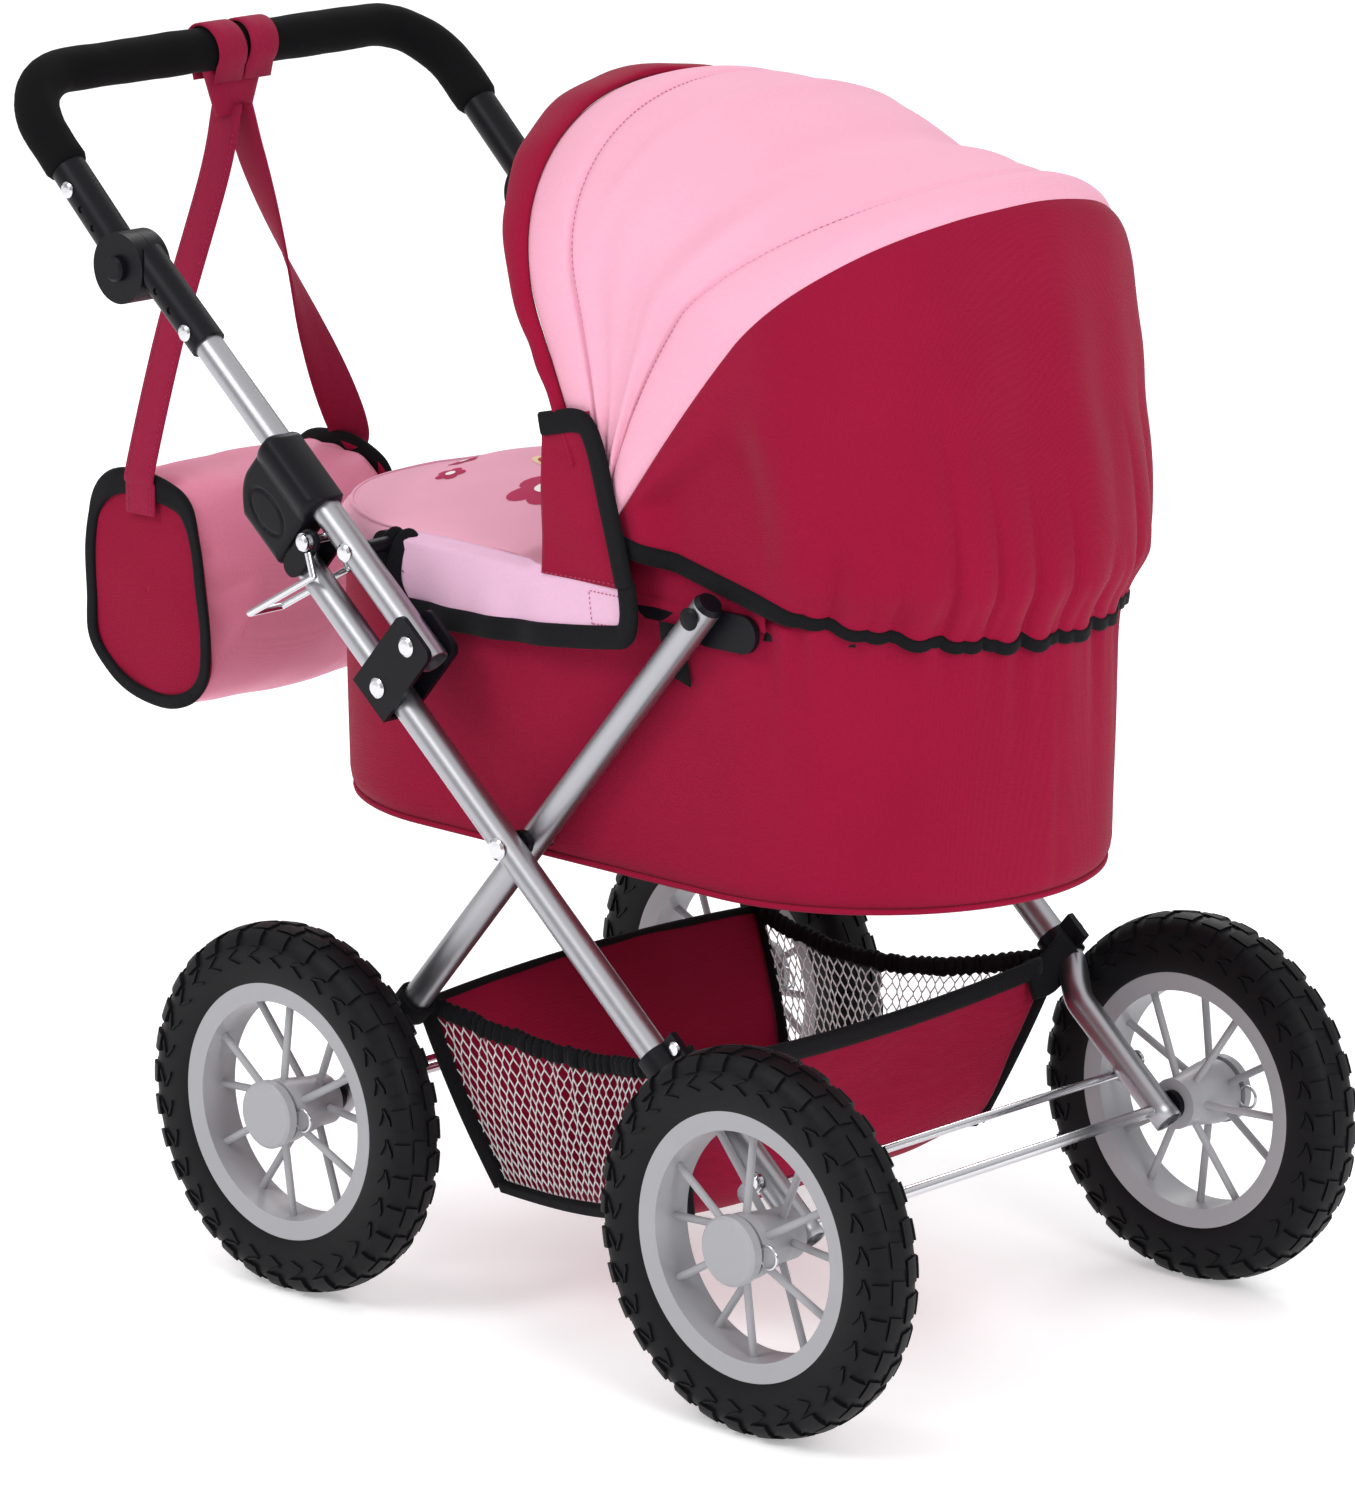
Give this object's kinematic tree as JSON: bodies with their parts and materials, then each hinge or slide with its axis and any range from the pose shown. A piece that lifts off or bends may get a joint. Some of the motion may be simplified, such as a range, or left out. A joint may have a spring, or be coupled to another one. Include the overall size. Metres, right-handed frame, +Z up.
{
  "type": "doll pram",
  "caption": "Folding doll pram: soft cot with fold-down hood and cover, scissor frame, four spoked wheels, mesh under-basket, hinged foam handle and a hanging changing bag.",
  "frame": {"origin": "on the floor, under the middle of the whole object", "axes": "+X towards the hood end, +Y to the left of someone pushing it, +Z up"},
  "size_m": [0.73, 0.3992, 0.6583],
  "materials": {
    "tube_silver": "satin",
    "rod_steel": "polished",
    "rivet_chrome": "polished",
    "plastic_black": "fine grain",
    "tyre_rubber": "matte with moulded tread",
    "rim_grey": "satin",
    "foam_black": "fine foam",
    "fabric_bordeaux": "twill",
    "fabric_pink": "brushed twill",
    "satin_pink": "satin weave",
    "binding_black": "ribbed tape",
    "mesh_white": "knitted mesh",
    "apron_lilac": "printed twill",
    "print_red": "flat print"
  },
  "bodies": {
    "frame": {"main_tube_left": "tube_silver", "main_tube_right": "tube_silver", "front_rods": "rod_steel", "fold_brackets": "plastic_black", "catch_lugs": "plastic_black", "basket_clamps": "plastic_black", "frame_rivets": "rivet_chrome", "front_bushes": "plastic_black", "basket": "fabric_bordeaux"},
    "cross_frame": {"cross_tube_left": "tube_silver", "cross_tube_right": "tube_silver", "rear_rods": "rod_steel", "cross_rivets": "plastic_black", "cross_tube_plugs": "plastic_black", "rear_bushes": "plastic_black"},
    "handle_frame": {"handle_post_left": "tube_silver", "handle_post_right": "tube_silver", "hinge_lower_left": "plastic_black", "hinge_lower_right": "plastic_black", "post_rivets": "rivet_chrome"},
    "handle": {"hinge_upper_left": "plastic_black", "hinge_upper_right": "plastic_black", "handle_tube": "tube_silver", "foam_grip": "foam_black", "handle_rivets": "rivet_chrome"},
    "bag": {"bag_body": "satin_pink", "bag_strap": "fabric_bordeaux"},
    "cot": {"cot_rim": "plastic_black", "cot_tub": "fabric_bordeaux", "base_board": "fabric_bordeaux", "mattress": "fabric_pink", "cover": "fabric_pink", "mount_plates": "plastic_black", "hood_brackets": "plastic_black"},
    "hood_rear": {"hood_rear_bow": "rod_steel", "hood_rear_fabric": "fabric_bordeaux"},
    "hood_front": {"hood_front_bow": "rod_steel", "hood_front_fabric": "fabric_pink"},
    "wheel_front_left": {"tyre_front_left": "tyre_rubber", "rim_front_left": "rim_grey", "hub_cap_front_left": "rim_grey", "clip_front_left": "rod_steel"},
    "wheel_front_right": {"tyre_front_right": "tyre_rubber", "rim_front_right": "rim_grey", "hub_cap_front_right": "rim_grey", "clip_front_right": "rod_steel"},
    "wheel_rear_left": {"tyre_rear_left": "tyre_rubber", "rim_rear_left": "rim_grey", "hub_cap_rear_left": "rim_grey", "clip_rear_left": "rod_steel"},
    "wheel_rear_right": {"tyre_rear_right": "tyre_rubber", "rim_rear_right": "rim_grey", "hub_cap_rear_right": "rim_grey", "clip_rear_right": "rod_steel"},
    "lock_left": {"lock_housing_left": "plastic_black"},
    "bail_left": {"wire_bail_left": "rod_steel"},
    "button_left": {"hinge_button_left": "plastic_black"},
    "lock_right": {"lock_housing_right": "plastic_black"},
    "bail_right": {"wire_bail_right": "rod_steel"},
    "button_right": {"hinge_button_right": "plastic_black"}
  },
  "joints": [
    {"name": "fold", "type": "hinge", "parent": "frame", "child": "cross_frame", "pos_m": [0.06699, 0, 0.27], "axis": [0, 1, 0], "range_deg": [0, 48], "deforming": ["cot_tub", "base_board", "mattress", "cover", "basket"]},
    {"name": "post_fold", "type": "hinge", "parent": "frame", "child": "handle_frame", "pos_m": [0.00408, 0, 0.3687], "axis": [0, 1, 0], "range_deg": [0, 106.7]},
    {"name": "cot_tilt", "type": "hinge", "parent": "cross_frame", "child": "cot", "pos_m": [0.18608, 0, 0.40895], "axis": [0, 1, 0], "range_deg": [-14.9, 0]},
    {"name": "wheel_spin_front_left", "type": "hinge", "parent": "frame", "child": "wheel_front_left", "pos_m": [0.263, 0.175, 0.102], "axis": [0, 1, 0], "continuous": true},
    {"name": "wheel_spin_front_right", "type": "hinge", "parent": "frame", "child": "wheel_front_right", "pos_m": [0.263, -0.175, 0.102], "axis": [0, 1, 0], "continuous": true},
    {"name": "wheel_spin_rear_left", "type": "hinge", "parent": "cross_frame", "child": "wheel_rear_left", "pos_m": [-0.077, 0.175, 0.102], "axis": [0, 1, 0], "continuous": true},
    {"name": "wheel_spin_rear_right", "type": "hinge", "parent": "cross_frame", "child": "wheel_rear_right", "pos_m": [-0.077, -0.175, 0.102], "axis": [0, 1, 0], "continuous": true},
    {"name": "handle_angle", "type": "hinge", "parent": "handle_frame", "child": "handle", "pos_m": [-0.21632, 0, 0.54181], "axis": [0, -1, 0], "range_deg": [-60, 15]},
    {"name": "button_press_left", "type": "slide", "parent": "handle", "child": "button_left", "axis": [0, -1, 0], "range_m": [0, 0.003], "stiffness_N_per_m": 900, "springref_m": -0.001},
    {"name": "lock_slide_left", "type": "slide", "parent": "handle_frame", "child": "lock_left", "axis": [-0.7593, 0, 0.6508], "range_m": [0, 0.022]},
    {"name": "bail_swing_left", "type": "hinge", "parent": "frame", "child": "bail_left", "pos_m": [-0.0701, 0.157, 0.41384], "axis": [0, -1, 0], "range_deg": [-10, 50]},
    {"name": "button_press_right", "type": "slide", "parent": "handle", "child": "button_right", "axis": [0, 1, 0], "range_m": [0, 0.003], "stiffness_N_per_m": 900, "springref_m": -0.001},
    {"name": "lock_slide_right", "type": "slide", "parent": "handle_frame", "child": "lock_right", "axis": [-0.7593, 0, 0.6508], "range_m": [0, 0.022]},
    {"name": "bail_swing_right", "type": "hinge", "parent": "frame", "child": "bail_right", "pos_m": [-0.0701, -0.157, 0.41384], "axis": [0, -1, 0], "range_deg": [-10, 50]},
    {"name": "bag_swing", "type": "hinge", "parent": "handle", "child": "bag", "pos_m": [-0.31264, 0, 0.63353], "axis": [0, 1, 0], "range_deg": [-14, 70]},
    {"name": "hood_fold", "type": "hinge", "parent": "cot", "child": "hood_rear", "pos_m": [0.118, 0, 0.44], "axis": [0, 1, 0], "range_deg": [0, 35], "deforming": ["hood_rear_fabric"]},
    {"name": "hood_visor_fold", "type": "hinge", "parent": "hood_rear", "child": "hood_front", "pos_m": [0.118, 0, 0.44], "axis": [0, 1, 0], "range_deg": [0, 45.5], "deforming": ["hood_front_fabric"]}
  ],
  "couplings": [
    {"joint": "post_fold", "follows": "fold", "ratio": 2.212},
    {"joint": "cot_tilt", "follows": "fold", "ratio": -0.299},
    {"joint": "hood_visor_fold", "follows": "hood_fold", "ratio": 1.29}
  ]
}
